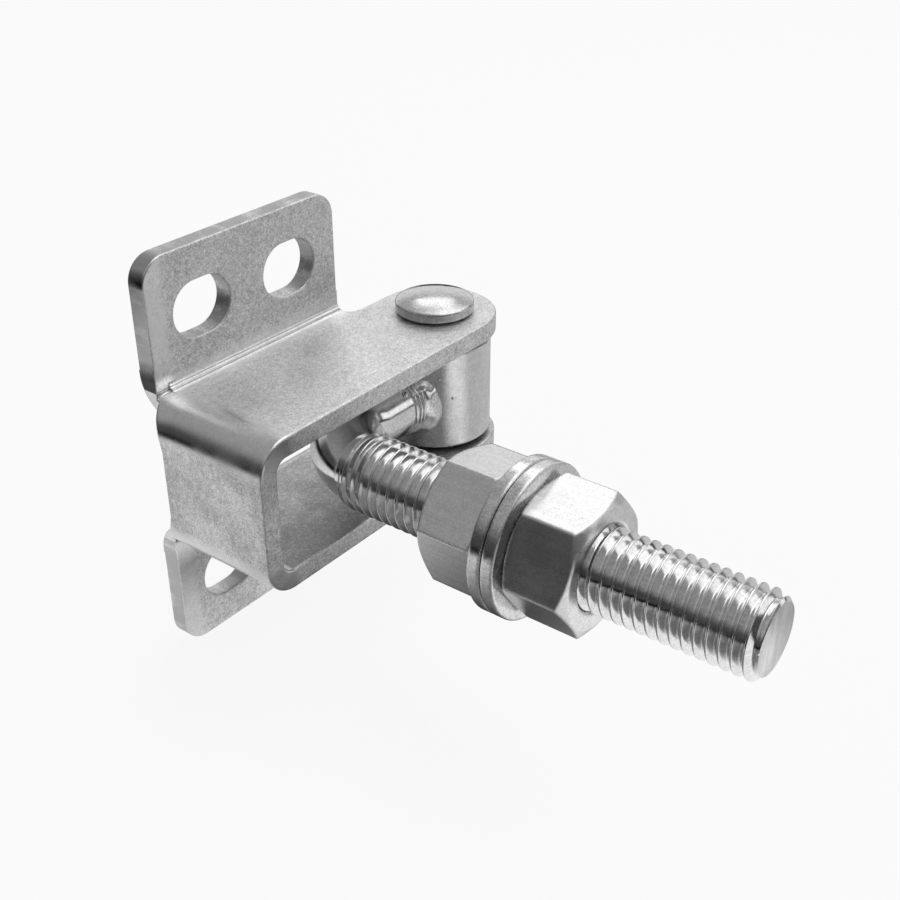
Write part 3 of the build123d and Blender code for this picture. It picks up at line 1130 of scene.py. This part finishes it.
@dataclass(frozen=True)
class Studio:
    """Pale floor, a white backdrop, a grey tent that is dark at its foot, and soft lamps; in metres.

    Attributes:
        tent_foot: Brightness of the tent near the horizon, seen by the metal.
        tent_roof: Brightness of the tent overhead.
        tent_rise: Height of a ray where the tent starts to brighten and is full.
        backdrop: Brightness of the backdrop near the floor, seen by the metal.
        backdrop_top: Brightness of the backdrop higher up.
        backdrop_fall: Height of a ray where the backdrop starts to dim and has dimmed.
        backdrop_heading: Direction towards the backdrop, along X and Y.
        backdrop_edge: How squarely a ray heads for the backdrop at its soft edge, from none to full.
        floor_half: Half of the floor's width.
        floor_gap: Gap between the hinge and the floor.
        floor_white: Share of plain white in the floor that the camera sees.
        floor_colour: Colour of the floor under the lamps.
        shadow_centre: Middle of the nuts' shadow, along X and Y.
        shadow_end: Distance from there where the shadow starts to end and has ended.
        shadow: Share of the floor's brightness that the metal sees in that shadow.
        pool_centre: Middle of the lit floor, along X and Y.
        pool_end: Distance from there where the lit floor starts to fade and is gone.
        pin: Pin axis, along X and Y.
        floor_tones: Brightness of the lit floor, seen by the metal, by heading around the pin in degrees.
        lamps: The soft lamps.
    """

    tent_foot: float = 0.07
    tent_roof: float = 0.38
    tent_rise: tuple[float, float] = (0.22, 0.60)
    backdrop: float = 0.92
    backdrop_top: float = 0.48
    backdrop_fall: tuple[float, float] = (0.28, 0.54)
    backdrop_heading: tuple[float, float] = (0.79, 0.61)
    backdrop_edge: tuple[float, float] = (0.50, 0.78)
    floor_half: float = 4.0
    floor_gap: float = 0.0004
    floor_white: float = 0.90
    floor_colour: Rgb = (0.86, 0.86, 0.86)
    shadow_centre: tuple[float, float] = (0.02, -0.06)
    shadow_end: tuple[float, float] = (0.020, 0.055)
    shadow: float = 0.30
    pool_centre: tuple[float, float] = (0.12, -0.16)
    pool_end: tuple[float, float] = (0.34, 0.54)
    pin: tuple[float, float] = (0.043, -0.024)
    floor_tones: tuple[tuple[float, float], ...] = (
        (0.0, 0.64), (37.0, 0.35), (70.0, 0.35), (110.0, 0.60), (142.0, 0.95), (180.0, 0.62), (205.0, 0.22),
        (232.0, 0.22), (248.0, 1.0), (270.0, 1.0), (288.0, 0.58), (325.0, 0.64), (360.0, 0.64))
    lamps: tuple[SoftBox, ...] = (
        SoftBox("key_box", (0.38, -0.20, 0.90), 1.0, (1.3, 0.9), 1.25),
        SoftBox("front_box", (0.69, -0.70, 0.13), 1.2, (1.0, 0.32), 1.05),
        SoftBox("back_box", (0.59, 0.48, 0.64), 1.0, (0.34, 0.28), 1.4),
    )

    def surround(self) -> None:
        """White world for the camera; for the metal, the grey tent and the backdrop."""
        world = bpy.data.worlds.new("tent")
        world.use_nodes = True
        bpy.context.scene.world = world
        s = NodeSketch(world.node_tree)
        back = world.node_tree.nodes["Background"]
        x, y, z = s.axes(s.add("ShaderNodeTexCoord").outputs["Generated"])
        tent = s.blend(s.span(z, *self.tent_rise), self.tent_foot, self.tent_roof)
        heading = s.math("ADD", s.math("MULTIPLY", x, self.backdrop_heading[0]),
                         s.math("MULTIPLY", y, self.backdrop_heading[1]))
        sweep = s.blend(s.span(z, *self.backdrop_fall), self.backdrop, self.backdrop_top)
        tone = s.blend(s.span(heading, *self.backdrop_edge), tent, sweep)
        bare, _ = s.bare_view()
        s.feed(back.inputs["Color"], (1.0, 1.0, 1.0, 1.0))
        s.feed(back.inputs["Strength"], s.blend(bare, tone, 1.0))

    def _lit_floor(self, s: NodeSketch, level: float) -> bpy.types.NodeSocket:
        """Brightness of the floor that the metal sees.

        Args:
            s: Sketch of the floor's material.
            level: Height of the floor.

        Returns:
            The brightness.
        """
        place = s.add("ShaderNodeTexCoord").outputs["Object"]
        x, y, _ = s.axes(place)
        turn = s.math("ARCTAN2", s.math("SUBTRACT", y, self.pin[1]), s.math("SUBTRACT", x, self.pin[0]))
        ramp = s.add("ShaderNodeValToRGB")
        s.feed(ramp.inputs["Fac"], s.math("FRACT", s.math("ADD", s.math("DIVIDE", turn, math.tau), 1.0)))
        stops = ramp.color_ramp.elements
        for degrees, _ in self.floor_tones[1:-1]:
            stops.new(degrees / 360.0)
        for stop, (_, tone) in zip(stops, self.floor_tones):
            stop.color = (tone, tone, tone, 1.0)
        from_nuts = s.distance(place, (*self.shadow_centre, level))
        from_pool = s.distance(place, (*self.pool_centre, level))
        shaded = s.blend(s.span(from_nuts, *self.shadow_end), self.shadow, 1.0)
        fading = s.math("SUBTRACT", 1.0, s.span(from_pool, *self.pool_end))
        return s.math("MULTIPLY", s.math("MULTIPLY", ramp.outputs["Color"], shaded), fading)

    def floor(self, level: float) -> None:
        """Make the pale floor, which shows white and keeps the shadow.

        Args:
            level: Height of the floor.
        """
        mesh = bmesh.new()
        bmesh.ops.create_grid(mesh, x_segments=1, y_segments=1, size=self.floor_half,
                              matrix=Matrix.Translation((0.0, 0.0, level)))
        data = bpy.data.meshes.new("floor")
        mesh.to_mesh(data)
        mesh.free()
        floor = bpy.data.objects.new("floor", data)
        bpy.context.scene.collection.objects.link(floor)
        material = bpy.data.materials.new("pale_floor")
        material.use_nodes = True
        s = NodeSketch(material.node_tree)
        shader = material.node_tree.nodes["Principled BSDF"]
        shader.inputs["Base Color"].default_value = (*self.floor_colour, 1.0)
        shader.inputs["Roughness"].default_value = 0.9
        shader.inputs["Specular IOR Level"].default_value = 0.0
        bare, mirrored = s.bare_view()
        glow = s.add("ShaderNodeEmission")
        s.feed(glow.inputs["Strength"], s.blend(bare, self._lit_floor(s, level), 1.0))
        mix = s.add("ShaderNodeMixShader")
        s.feed(mix.inputs[0], s.math("MAXIMUM", s.math("MULTIPLY", bare, self.floor_white), mirrored))
        s.feed(mix.inputs[1], shader.outputs[0])
        s.feed(mix.inputs[2], glow.outputs[0])
        s.feed(material.node_tree.nodes["Material Output"].inputs["Surface"], mix.outputs[0])
        data.materials.append(material)

    def build(self, low: Vector, high: Vector) -> None:
        """Set up world, floor and lamps.

        Args:
            low: Lowest corner of the hinge.
            high: Highest corner of the hinge.
        """
        self.surround()
        self.floor(low.z - self.floor_gap)
        for lamp in self.lamps:
            lamp.hang((low + high) / 2.0)
        bpy.context.scene.view_settings.view_transform = "Standard"


def main() -> None:
    """Build the hinge's looks and its studio."""
    logging.basicConfig(level=logging.INFO, format="%(name)s: %(message)s")
    wardrobe = Wardrobe()
    for name in CadPieces(wardrobe).dress():
        LOG.info("dressed %s", name)
    bolt = ThreadedBolt()
    for piece in (bolt.build(wardrobe.bolt, wardrobe.tip), WeldBead(bolt).build(wardrobe.weld)):
        LOG.info("built %s with %d faces", piece.name, len(piece.data.polygons))
    PhotoCamera().place()
    Studio().build(*CAD_BOX)


if __name__ == "__main__":
    main()
